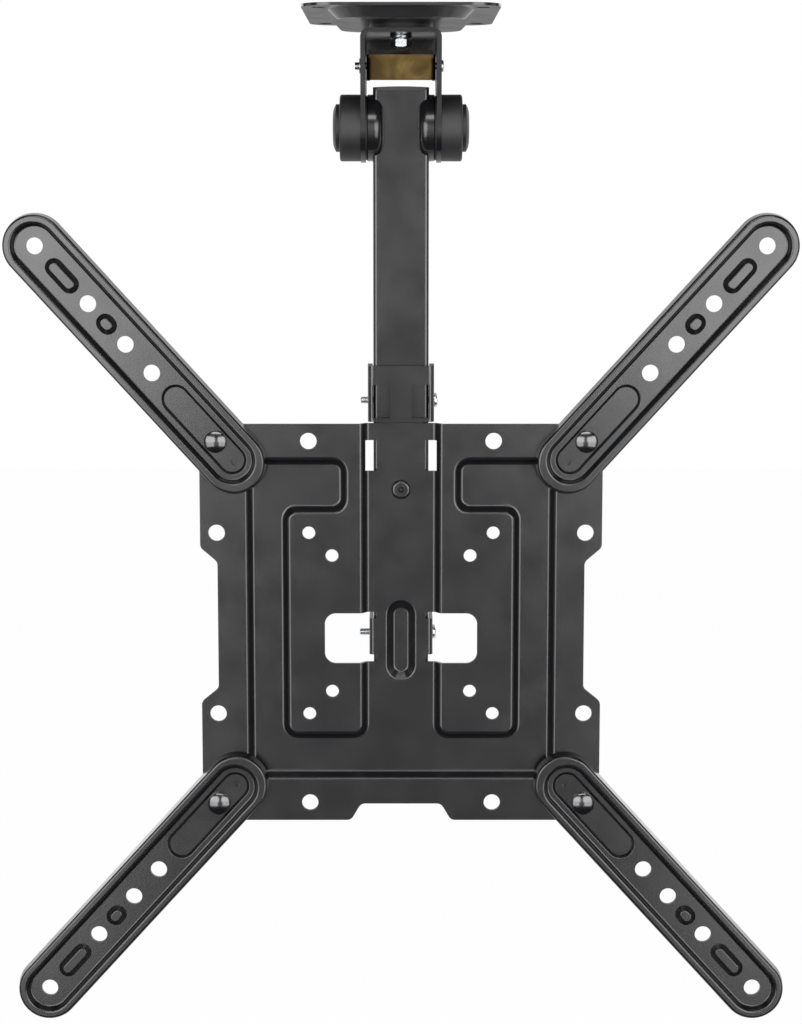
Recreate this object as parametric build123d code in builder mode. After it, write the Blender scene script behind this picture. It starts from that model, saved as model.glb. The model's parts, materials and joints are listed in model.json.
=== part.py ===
# Folding ceiling mount for a television: ceiling plate, swivel yoke with a spring latch, folding drop
# tube on a friction hinge, and a pressed screen plate with four turning extension arms.
# Millimetres, +Z up, the screen faces -Y. Origin: top face of the ceiling plate on the swivel axis.
import os
from math import atan, cos, degrees, radians, sin, tan

from build123d import *

os.makedirs("parts", exist_ok=True)

# Ceiling plate
ceiling_width = 102.0
ceiling_length = 148.0
ceiling_corner = 15.0
ceiling_sheet = 1.5
ceiling_boss_width = 76.0
ceiling_boss_length = 126.0
ceiling_boss_corner = 22.0
ceiling_boss_depth = 5.0
ceiling_boss_run = 5.0
ceiling_screw_hole = 7.0
ceiling_screw_side_edge = 9.0
ceiling_screw_end_edge = 16.0

# Swivel joint
swivel_bolt = 6.0
swivel_clearance = 0.1
swivel_head_diameter = 16.0
swivel_head_height = 3.4
glide_washer_diameter = 34.0
glide_washer_thickness = 2.5
lock_washer_diameter = 12.0
lock_washer_thickness = 2.0
swivel_nut_flats = 10.0
swivel_nut_height = 4.6

# Yoke
yoke_sheet = 2.5
yoke_inside = 38.0
yoke_front = 24.0
yoke_rear = 60.0
yoke_bend = 2.5
cheek_front_height = 6.0
cheek_rear_height = 11.0
cheek_end_radius = 18.5
rear_lip_height = 8.5

# Friction hinge
hinge_drop = 60.7
hinge_bolt = 8.0
hinge_clearance = 0.08
hinge_head_flats = 13.0
hinge_head_height = 5.3
hinge_nut_height = 5.0
hub_radius = 17.75
hub_inner_end = 9.3
hub_round = 5.0
hub_edge = 0.6
friction_washer_thickness = 0.8
spacer_diameter = 12.0
disc_spring_diameter = 20.0
disc_spring_thickness = 1.2
disc_spring_cone = 0.6
housing_length = 11.3
housing_wall = 2.4
housing_edge = 1.2
cap_radius = 12.7
cap_proud = 3.7
cap_plug_length = 2.0

# Drop tube
tube_width = 30.0
tube_depth = 20.0
tube_wall = 1.5
tube_corner = 2.0
tube_top_reach = 19.7
tube_bottom_drop = 357.9
end_cap_rim = 1.5
end_cap_crown = 0.5
top_plug_length = 1.6
bottom_plug_length = 8.0
end_cap_fit = 0.1
weld_gap = 0.05

# Latch between the yoke cheeks
latch_drop = 27.9
latch_sheet = 1.8
latch_side_gap = 0.6
latch_front = 10.0
latch_bend = 2.8
latch_bottom = 7.8
latch_bend_height = 5.5
latch_flange_rear = 9.0
latch_flange_rise = 3.7
latch_cheek_rear = 4.5
latch_flange_corner = 3.5
latch_pin = 4.0
latch_pin_clearance = 0.1
latch_pin_head = 6.4
latch_pin_head_height = 1.6
latch_pin_tail = 3.2
latch_clip_diameter = 8.0
latch_clip_thickness = 0.8
spring_wire = 1.2
spring_inner_gap = 0.6
spring_turns = 4
spring_pitch = 1.6

# Screen plate
screen_drop = 327.9
plate_face = 19.5
plate_sheet = 2.0
plate_half_width = 109.0
plate_half_height = 109.3
plate_bottom = 110.0
plate_corner = 10.0
notch_half_width = 99.7
notch_top = 42.0
notch_top_inner = 34.0
notch_bottom_inner = -35.8
notch_bottom = -43.3
notch_corner = 4.0
foot_half_width = 27.5
foot_inner_half_width = 22.0
foot_depth = 9.3
press_depth = 4.5
press_run = 3.0
press_corner = 6.0
press_edge = 2.0
strip_half_width = 19.9
pad_half_width = 62.6
pad_bottom = -62.5
pad_top = 62.6
neck_half_width = 31.0
ring_top = 89.0
ring_half_width = 82.2
ring_bottom = -84.9
tie_slot_inner = 13.0
tie_slot_outer = 19.3
tie_slot_bottom = 83.3
tie_slot_top = 100.1
window_inner = 13.5
window_outer = 41.5
window_top = 5.7
window_bottom = -22.1
window_corner = 6.0
tab_top = 2.0
tab_bottom = -18.0
tab_rear = 8.0
tab_corner = 3.0
bead_width = 16.0
bead_top = 12.0
bead_bottom = -32.0
bead_depth = 2.7
bead_run = 4.2
bead_edge = 1.5
small_vesa_hole = 7.0
large_vesa_hole = 9.0
vesa_75 = 75.0
vesa_100 = 100.0
vesa_200 = 200.0

# Upper bracket on the screen plate
bracket_sheet = 2.5
bracket_gap = 0.5
bracket_bottom = 109.8
bracket_top = 140.1
bracket_rear = 9.0
bracket_seat_gap = 0.3
bracket_window_inner = 6.0
bracket_window_top = 129.9
bracket_window_bottom = 111.8
tongue_half_width = 12.0
tongue_bottom = 60.0
rivet_height = 73.2
rivet_diameter = 5.0
rivet_head_diameter = 10.6
rivet_head_height = 1.9
rivet_dimple_diameter = 3.2
rivet_dimple_depth = 0.8
clamp_screw = 4.0
clamp_head_diameter = 8.0
clamp_head_height = 1.6
clamp_length = 40.0
clamp_clearance = 0.15
upper_clamp_height = 120.6
lower_clamp_height = -8.0

# Extension arms
arm_half_width = 17.5
arm_reach = 141.4
arm_inner_end = 14.9
arm_pan_inner_end = 13.4
arm_rest_angle = 47.8
arm_sheet = 2.0
arm_pan_depth = 4.0
arm_recess_depth = 1.5
arm_skirt_gap = 0.5
arm_skirt_height = 7.0
arm_skirt_run = 1.0
arm_rim_width = 4.2
arm_pan_run = 1.4
arm_recess_reach = 31.0
arm_recess_half_width = 7.8
arm_recess_run = 1.4
arm_edge = 1.5
arm_floor_edge = 1.0
arm_recess_edge = 0.6
arm_hole = 9.0
arm_hole_reaches = (50.0, 70.7, 100.0, arm_reach)
arm_pip_hole = 3.6
long_bead_reach = 120.0
long_bead_length = 22.0
short_bead_reach = 85.3
short_bead_length = 11.8
arm_bead_width = 10.0
arm_bead_height = 2.3
arm_bead_run = 2.7
arm_bead_edge = 0.8
pivot_bolt = 6.0
pivot_clearance = 0.1
pivot_head_diameter = 12.0
pivot_head_height = 3.4
pivot_head_rim = 0.3
pivot_washer_diameter = 12.0
pivot_washer_thickness = 1.6
pivot_nut_flats = 10.0
pivot_nut_height = 5.0
pivot_tail = 1.5

# Levels that follow from the sizes above
ceiling_screw_spacing_x = ceiling_width - 2 * ceiling_screw_side_edge
ceiling_screw_spacing_y = ceiling_length - 2 * ceiling_screw_end_edge
boss_face = ceiling_sheet + ceiling_boss_depth
yoke_top = boss_face + glide_washer_thickness
yoke_under = yoke_top + yoke_sheet
swivel_nut_top = yoke_under + lock_washer_thickness
swivel_end = swivel_nut_top + swivel_nut_height
cheek_inner = yoke_inside / 2
cheek_outer = cheek_inner + yoke_sheet
hub_outer_end = cheek_inner - friction_washer_thickness
housing_end = cheek_outer + housing_length
hinge_seat = cheek_outer + disc_spring_thickness + disc_spring_cone
strip_face = plate_face - press_depth
strip_back = strip_face - plate_sheet
bracket_back = strip_back - bracket_sheet
bracket_inner = tube_width / 2 + bracket_gap
bracket_outer = bracket_inner + bracket_sheet
tube_end = hinge_drop - tube_top_reach
tab_inner = tube_width / 2 + bracket_seat_gap
tab_outer = tab_inner + plate_sheet


def facing_back(y, z=0.0):
    """Sketch plane at depth y whose extrusions run backward (+Y); height is its second axis."""
    return Plane(origin=(0, y, z), x_dir=(-1, 0, 0), z_dir=(0, 1, 0))


def along_x(y, z, x=0.0):
    """Sketch plane across the X axis: its first axis is Y, its second Z."""
    return Plane(origin=(x, y, z), x_dir=(0, 1, 0), z_dir=(1, 0, 0))


def turned(y, z, side):
    """Plane for profiles revolved about the X axis at (y, z), mirrored for side -1."""
    return Plane(origin=(0, y, z), x_dir=(side, 0, 0), z_dir=(0, -side, 0))


def wall_draft(run, height):
    """Draft angle of a pressed wall that leans by run over its height."""
    return degrees(atan(run / height))


def save(name, part):
    """Label a finished piece and write it under its own name."""
    part.label = name
    export_step(part, f"parts/{name}.step")


# Ceiling plate: flat sheet with a drafted boss pressed downward and screw holes on its flange
with BuildPart() as ceiling_plate:
    with BuildSketch(Plane.XY.offset(-ceiling_sheet)):
        RectangleRounded(ceiling_width, ceiling_length, ceiling_corner)
    extrude(amount=ceiling_sheet)
    with BuildSketch(Plane.XY.offset(-ceiling_sheet)):
        RectangleRounded(ceiling_boss_width, ceiling_boss_length, ceiling_boss_corner)
    extrude(amount=-ceiling_boss_depth, taper=wall_draft(ceiling_boss_run, ceiling_boss_depth))
    fillet(ceiling_plate.faces().sort_by(Axis.Z)[0].edges(), 1.5)
    with BuildSketch(Plane.XY):
        RectangleRounded(ceiling_boss_width - ceiling_sheet, ceiling_boss_length - ceiling_sheet,
                         ceiling_boss_corner - ceiling_sheet / 2)
    extrude(amount=-ceiling_boss_depth, taper=wall_draft(ceiling_boss_run, ceiling_boss_depth),
            mode=Mode.SUBTRACT)
    with BuildSketch(Plane.XY):
        with GridLocations(ceiling_screw_spacing_x, ceiling_screw_spacing_y, 2, 2):
            Circle(ceiling_screw_hole / 2)
        Circle(swivel_bolt / 2 + swivel_clearance)
    extrude(amount=-boss_face, mode=Mode.SUBTRACT)
save("ceiling_plate", ceiling_plate.part)

# Swivel bolt: low round head lying in the boss, shank down through washer, yoke and nut
with BuildPart() as swivel_bolt_part:
    with BuildSketch(Plane.XY.offset(-ceiling_boss_depth)):
        Circle(swivel_head_diameter / 2)
    extrude(amount=swivel_head_height)
    chamfer(swivel_bolt_part.faces().sort_by(Axis.Z)[-1].edges(), 0.8)
    with BuildSketch(Plane.XY.offset(-ceiling_boss_depth)):
        Circle(swivel_bolt / 2)
    extrude(amount=ceiling_boss_depth - swivel_end)
save("swivel_bolt", swivel_bolt_part.part)

with BuildPart() as glide_washer:
    with BuildSketch(Plane.XY.offset(-yoke_top)):
        Circle(glide_washer_diameter / 2)
        Circle(swivel_bolt / 2 + swivel_clearance, mode=Mode.SUBTRACT)
    extrude(amount=glide_washer_thickness)
save("swivel_glide_washer", glide_washer.part)

with BuildPart() as lock_washer:
    with BuildSketch(Plane.XY.offset(-yoke_under)):
        Circle(lock_washer_diameter / 2)
        Circle(swivel_bolt / 2, mode=Mode.SUBTRACT)
    extrude(amount=-lock_washer_thickness)
save("swivel_lock_washer", lock_washer.part)

with BuildPart() as swivel_nut:
    with BuildSketch(Plane.XY.offset(-swivel_nut_top)):
        RegularPolygon(swivel_nut_flats / 2, 6, major_radius=False)
        Circle(swivel_bolt / 2, mode=Mode.SUBTRACT)
    extrude(amount=-swivel_nut_height)
save("swivel_nut", swivel_nut.part)

# Yoke: folded channel with a long web under the ceiling plate, cheeks that taper to the hinge
# and a lip at the rear
with BuildPart() as yoke:
    with BuildSketch(along_x(0, 0, -cheek_outer)):
        with BuildLine():
            Polyline(
                (cheek_end_radius, -hinge_drop),
                (yoke_rear, -yoke_top - cheek_rear_height),
                (yoke_rear, -yoke_top),
                (-yoke_front, -yoke_top),
                (-yoke_front, -yoke_top - cheek_front_height),
                (-cheek_end_radius, -hinge_drop),
            )
            RadiusArc((-cheek_end_radius, -hinge_drop), (cheek_end_radius, -hinge_drop),
                      -cheek_end_radius)
        make_face()
    extrude(amount=2 * cheek_outer)
    fillet(yoke.edges().filter_by(Axis.Y).group_by(Axis.Z)[-1], yoke_bend + yoke_sheet)
    with BuildSketch(Plane.XZ.offset(yoke_front)):
        with BuildLine():
            Polyline(
                (cheek_inner, -yoke_under - yoke_bend),
                (cheek_inner, -2 * hinge_drop),
                (-cheek_inner, -2 * hinge_drop),
                (-cheek_inner, -yoke_under - yoke_bend),
            )
            RadiusArc((-cheek_inner, -yoke_under - yoke_bend),
                      (-cheek_inner + yoke_bend, -yoke_under), yoke_bend)
            Line((-cheek_inner + yoke_bend, -yoke_under), (cheek_inner - yoke_bend, -yoke_under))
            RadiusArc((cheek_inner - yoke_bend, -yoke_under),
                      (cheek_inner, -yoke_under - yoke_bend), yoke_bend)
        make_face()
    extrude(amount=-yoke_front - yoke_rear, mode=Mode.SUBTRACT)
    with BuildSketch(Plane.XY.offset(-yoke_top)):
        with Locations((0, yoke_rear - yoke_sheet / 2)):
            Rectangle(yoke_inside + yoke_sheet, yoke_sheet)
    extrude(amount=-yoke_sheet - rear_lip_height)
    with BuildSketch(along_x(0, 0, -cheek_outer)):
        with Locations((0, -hinge_drop)):
            Circle(hinge_bolt / 2 + hinge_clearance)
        with Locations((0, -latch_drop)):
            Circle(latch_pin / 2 + latch_pin_clearance)
    extrude(amount=2 * cheek_outer, mode=Mode.SUBTRACT)
    with BuildSketch(Plane.XY.offset(-yoke_top)):
        Circle(swivel_bolt / 2 + swivel_clearance)
    extrude(amount=-yoke_sheet, mode=Mode.SUBTRACT)
save("yoke", yoke.part)

# Friction hinge: turned hubs welded into the tube, a spacer between them, plastic friction washers,
# and on the outside of each cheek a moulded housing closed by a domed cap
for side_name, side in (("left", -1), ("right", 1)):
    with BuildPart() as hinge_hub:
        with BuildSketch(turned(0, -hinge_drop, side)):
            with BuildLine():
                Polyline(
                    (hub_inner_end, hinge_bolt / 2 + hinge_clearance),
                    (hub_outer_end, hinge_bolt / 2 + hinge_clearance),
                    (hub_outer_end, hub_radius - hub_edge),
                    (hub_outer_end - hub_edge, hub_radius),
                    (hub_inner_end + hub_round, hub_radius),
                )
                RadiusArc((hub_inner_end + hub_round, hub_radius),
                          (hub_inner_end, hub_radius - hub_round), -hub_round)
                Line((hub_inner_end, hub_radius - hub_round),
                     (hub_inner_end, hinge_bolt / 2 + hinge_clearance))
            make_face()
        revolve(axis=Axis((0, 0, -hinge_drop), (1, 0, 0)))
    save(f"hinge_hub_{side_name}", hinge_hub.part)

    with BuildPart() as friction_washer:
        with BuildSketch(along_x(0, -hinge_drop, side * hub_outer_end)):
            Circle(hub_radius - hub_edge)
            Circle(hinge_bolt / 2 + hinge_clearance, mode=Mode.SUBTRACT)
        extrude(amount=side * friction_washer_thickness)
    save(f"friction_washer_{side_name}", friction_washer.part)

    housing_bore = cap_radius - housing_wall
    with BuildPart() as hinge_housing:
        with BuildSketch(turned(0, -hinge_drop, side)):
            with BuildLine():
                Polyline(
                    (cheek_outer, hub_radius - housing_wall),
                    (cheek_outer, hub_radius),
                    (housing_end - housing_edge, hub_radius),
                )
                RadiusArc((housing_end - housing_edge, hub_radius),
                          (housing_end, hub_radius - housing_edge), housing_edge)
                Polyline(
                    (housing_end, hub_radius - housing_edge),
                    (housing_end, housing_bore),
                    (housing_end - housing_wall, housing_bore),
                    (housing_end - housing_wall, hub_radius - housing_wall),
                    (cheek_outer, hub_radius - housing_wall),
                )
            make_face()
        revolve(axis=Axis((0, 0, -hinge_drop), (1, 0, 0)))
    save(f"hinge_housing_{side_name}", hinge_housing.part)

    cap_dome = housing_end + cap_proud
    cap_shoulder = housing_end + cap_proud * 0.55
    with BuildPart() as hinge_cap:
        with BuildSketch(turned(0, -hinge_drop, side)):
            with BuildLine():
                Polyline(
                    (cap_dome, 0),
                    (housing_end - cap_plug_length, 0),
                    (housing_end - cap_plug_length, housing_bore - end_cap_fit),
                    (housing_end, housing_bore - end_cap_fit),
                    (housing_end, cap_radius),
                    (cap_shoulder, cap_radius),
                )
                ThreePointArc((cap_shoulder, cap_radius), (cap_dome - 0.35, cap_radius * 0.78),
                              (cap_dome, cap_radius * 0.5))
                Line((cap_dome, cap_radius * 0.5), (cap_dome, 0))
            make_face()
        revolve(axis=Axis((0, 0, -hinge_drop), (1, 0, 0)))
    save(f"hinge_cap_{side_name}", hinge_cap.part)

with BuildPart() as hinge_spacer:
    with BuildSketch(along_x(0, -hinge_drop, -hub_inner_end)):
        Circle(spacer_diameter / 2)
        Circle(hinge_bolt / 2 + hinge_clearance, mode=Mode.SUBTRACT)
    extrude(amount=2 * hub_inner_end)
save("hinge_spacer", hinge_spacer.part)

# Disc springs: a coned washer under the head and one under the nut keep the friction even
with BuildPart() as disc_springs:
    for side in (-1, 1):
        with BuildSketch(turned(0, -hinge_drop, side)):
            with BuildLine():
                Polyline(
                    (cheek_outer, disc_spring_diameter / 2),
                    (cheek_outer + disc_spring_thickness, disc_spring_diameter / 2),
                    (hinge_seat, hinge_bolt / 2 + hinge_clearance),
                    (hinge_seat - disc_spring_thickness, hinge_bolt / 2 + hinge_clearance),
                    close=True,
                )
            make_face()
        revolve(axis=Axis((0, 0, -hinge_drop), (1, 0, 0)))
save("hinge_disc_springs", disc_springs.part)

# Hinge bolt: hexagon head on the right, shank through both cheeks and both hubs
with BuildPart() as hinge_bolt_part:
    with BuildSketch(along_x(0, -hinge_drop, hinge_seat)):
        RegularPolygon(hinge_head_flats / 2, 6, major_radius=False)
    extrude(amount=hinge_head_height)
    with BuildSketch(along_x(0, -hinge_drop, hinge_seat)):
        Circle(hinge_bolt / 2)
    extrude(amount=-2 * hinge_seat - hinge_nut_height)
save("hinge_bolt", hinge_bolt_part.part)

with BuildPart() as hinge_nut:
    with BuildSketch(along_x(0, -hinge_drop, -hinge_seat)):
        RegularPolygon(hinge_head_flats / 2, 6, major_radius=False)
        Circle(hinge_bolt / 2, mode=Mode.SUBTRACT)
    extrude(amount=-hinge_nut_height)
save("hinge_nut", hinge_nut.part)

# Drop tube: rectangular tube, notched at both sides where the hubs are welded in
with BuildPart() as drop_tube:
    with BuildSketch(Plane.XY.offset(-tube_end)):
        RectangleRounded(tube_width, tube_depth, tube_corner)
        RectangleRounded(tube_width - 2 * tube_wall, tube_depth - 2 * tube_wall,
                         tube_corner - tube_wall, mode=Mode.SUBTRACT)
    extrude(amount=tube_end - tube_bottom_drop)
    for side in (-1, 1):
        with BuildSketch(turned(0, -hinge_drop, side)):
            with BuildLine():
                Polyline(
                    (hub_inner_end - weld_gap, 0),
                    (tube_width, 0),
                    (tube_width, hub_radius + weld_gap),
                    (hub_inner_end + hub_round, hub_radius + weld_gap),
                )
                RadiusArc((hub_inner_end + hub_round, hub_radius + weld_gap),
                          (hub_inner_end - weld_gap, hub_radius - hub_round),
                          -hub_round - weld_gap)
                Line((hub_inner_end - weld_gap, hub_radius - hub_round), (hub_inner_end - weld_gap, 0))
            make_face()
        revolve(axis=Axis((0, 0, -hinge_drop), (1, 0, 0)), mode=Mode.SUBTRACT)
    with BuildSketch(along_x(0, -screen_drop, -tube_width)):
        with Locations((0, upper_clamp_height), (0, lower_clamp_height)):
            Circle(clamp_screw / 2 + end_cap_fit)
    extrude(amount=2 * tube_width, mode=Mode.SUBTRACT)
save("drop_tube", drop_tube.part)

# Plastic plugs in the two tube ends; the upper one is crowned
plug_width = tube_width - 2 * tube_wall - 2 * end_cap_fit
plug_depth = tube_depth - 2 * tube_wall - 2 * end_cap_fit
with BuildPart() as tube_top_cap:
    with BuildSketch(Plane.XZ.offset(tube_depth / 2)):
        with BuildLine():
            Polyline((tube_width / 2, end_cap_rim - tube_end), (tube_width / 2, -tube_end),
                     (-tube_width / 2, -tube_end), (-tube_width / 2, end_cap_rim - tube_end))
            ThreePointArc((-tube_width / 2, end_cap_rim - tube_end),
                          (0, end_cap_rim + end_cap_crown - tube_end),
                          (tube_width / 2, end_cap_rim - tube_end))
        make_face()
    extrude(amount=-tube_depth)
    fillet(tube_top_cap.edges().filter_by(Axis.Z), tube_corner)
    with BuildSketch(Plane.XY.offset(-tube_end)):
        RectangleRounded(plug_width, plug_depth, tube_corner - tube_wall)
    extrude(amount=-top_plug_length)
save("tube_top_cap", tube_top_cap.part)

with BuildPart() as tube_bottom_cap:
    with BuildSketch(Plane.XY.offset(-tube_bottom_drop)):
        RectangleRounded(tube_width, tube_depth, tube_corner)
    extrude(amount=-end_cap_rim)
    with BuildSketch(Plane.XY.offset(-tube_bottom_drop)):
        RectangleRounded(plug_width, plug_depth, tube_corner - tube_wall)
    extrude(amount=bottom_plug_length)
save("tube_bottom_cap", tube_bottom_cap.part)

# Latch: folded from one strip, with a front face, two cheeks on the pin and a flange sloping back
latch_half = cheek_inner - latch_side_gap
latch_face_half = latch_half - latch_sheet
flange_fall = latch_sheet * 1.02
with BuildPart() as latch:
    with BuildSketch(Plane.XY.offset(-latch_drop - latch_bottom)):
        with BuildLine():
            FilletPolyline(
                (latch_half, latch_cheek_rear), (latch_half, -latch_front),
                (-latch_half, -latch_front), (-latch_half, latch_cheek_rear),
                radius=latch_bend,
            )
            Polyline((-latch_half, latch_cheek_rear), (-latch_face_half, latch_cheek_rear))
            FilletPolyline(
                (-latch_face_half, latch_cheek_rear), (-latch_face_half, latch_sheet - latch_front),
                (latch_face_half, latch_sheet - latch_front), (latch_face_half, latch_cheek_rear),
                radius=latch_bend - latch_sheet,
            )
            Polyline((latch_face_half, latch_cheek_rear), (latch_half, latch_cheek_rear))
        make_face()
    extrude(amount=latch_bottom + latch_bend_height)
    with BuildSketch(along_x(0, -latch_drop, -latch_half)):
        with BuildLine():
            Polyline(
                (-latch_front, latch_bend_height),
                (-latch_front + latch_bend, latch_bend_height),
                (latch_cheek_rear, latch_bend_height - 1.5),
                (latch_cheek_rear, -latch_pin),
                (latch_cheek_rear - latch_pin, -latch_bottom),
                (-latch_front, -latch_bottom),
                close=True,
            )
        make_face()
    extrude(amount=2 * latch_half, mode=Mode.INTERSECT)
    with BuildSketch(along_x(0, -latch_drop, -latch_face_half - latch_side_gap)):
        Polygon(
            (-latch_front, latch_bend_height - latch_sheet),
            (-latch_front, latch_bend_height),
            (latch_flange_rear, latch_bend_height + latch_flange_rise),
            (latch_flange_rear, latch_bend_height + latch_flange_rise - flange_fall),
            (-latch_front + latch_sheet, latch_bend_height - latch_sheet),
            align=None,
        )
    extrude(amount=2 * (latch_face_half + latch_side_gap))
    fillet(latch.edges().filter_by(Axis.Z).group_by(Axis.Y)[-1], latch_flange_corner)
    with BuildSketch(along_x(0, -latch_drop, -latch_half)):
        Circle(latch_pin / 2 + latch_pin_clearance)
    extrude(amount=2 * latch_half, mode=Mode.SUBTRACT)
save("latch", latch.part)

# Latch pin with a domed head, held by a clip at its other end
with BuildPart() as latch_pin_part:
    with BuildSketch(along_x(0, -latch_drop, -cheek_outer - latch_pin_tail)):
        Circle(latch_pin / 2)
    extrude(amount=2 * cheek_outer + latch_pin_tail)
    with BuildSketch(along_x(0, -latch_drop, cheek_outer)):
        Circle(latch_pin_head / 2)
    extrude(amount=latch_pin_head_height)
    fillet(latch_pin_part.faces().sort_by(Axis.X)[-1].edges(), 1.2)
save("latch_pin", latch_pin_part.part)

with BuildPart() as latch_clip:
    with BuildSketch(along_x(0, -latch_drop, -cheek_outer)):
        Circle(latch_clip_diameter / 2)
        Circle(latch_pin / 2 + weld_gap, mode=Mode.SUBTRACT)
        with Locations((latch_clip_diameter / 2, 0)):
            Rectangle(latch_clip_diameter, latch_pin * 0.7, mode=Mode.SUBTRACT)
    extrude(amount=-latch_clip_thickness)
save("latch_clip", latch_clip.part)

# Latch spring: close coil round the pin with one leg on the latch face and one behind
coil_radius = latch_pin / 2 + spring_inner_gap + spring_wire / 2
coil_length = spring_turns * spring_pitch
with BuildPart() as latch_spring:
    with BuildLine():
        coil = Helix(spring_pitch, coil_length, coil_radius,
                     center=(-coil_length / 2, 0, -latch_drop), direction=(1, 0, 0))
    with BuildSketch(Plane(origin=coil @ 0, z_dir=coil % 0)):
        Circle(spring_wire / 2)
    sweep(path=coil, is_frenet=True)
save("latch_spring", latch_spring.part)

# Screen plate: a flat blank with an anchor-shaped channel pressed backward, trimmed to its outline.
# The sketch is the channel along the middle of its sloping walls.
channel_half = [
    (strip_half_width, bracket_top),
    (strip_half_width, pad_bottom),
    (pad_half_width, pad_bottom),
    (pad_half_width, pad_top),
    (neck_half_width, pad_top),
    (neck_half_width, ring_top),
    (ring_half_width, ring_top),
    (ring_half_width, ring_bottom),
]
with BuildSketch() as channel:
    with BuildLine():
        FilletPolyline(*channel_half, *[(-x, z) for x, z in reversed(channel_half)],
                       radius=press_corner, close=True)
    make_face()

outline_half = [
    (plate_half_width, plate_half_height),
    (plate_half_width, notch_top),
    (notch_half_width, notch_top_inner),
    (notch_half_width, notch_bottom_inner),
    (plate_half_width, notch_bottom),
    (plate_half_width, -plate_bottom),
    (foot_half_width, -plate_bottom),
    (foot_inner_half_width, foot_depth - plate_bottom),
]
with BuildSketch() as outline:
    with BuildLine():
        Polyline(*outline_half, *[(-x, z) for x, z in reversed(outline_half)], close=True)
    make_face()
    fillet([v for v in vertices() if abs(v.X) > notch_half_width and abs(v.Y) > notch_half_width],
           plate_corner)
    fillet([v for v in vertices() if abs(v.Y) < notch_top + foot_depth or abs(v.X) < pad_half_width],
           notch_corner)

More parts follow.
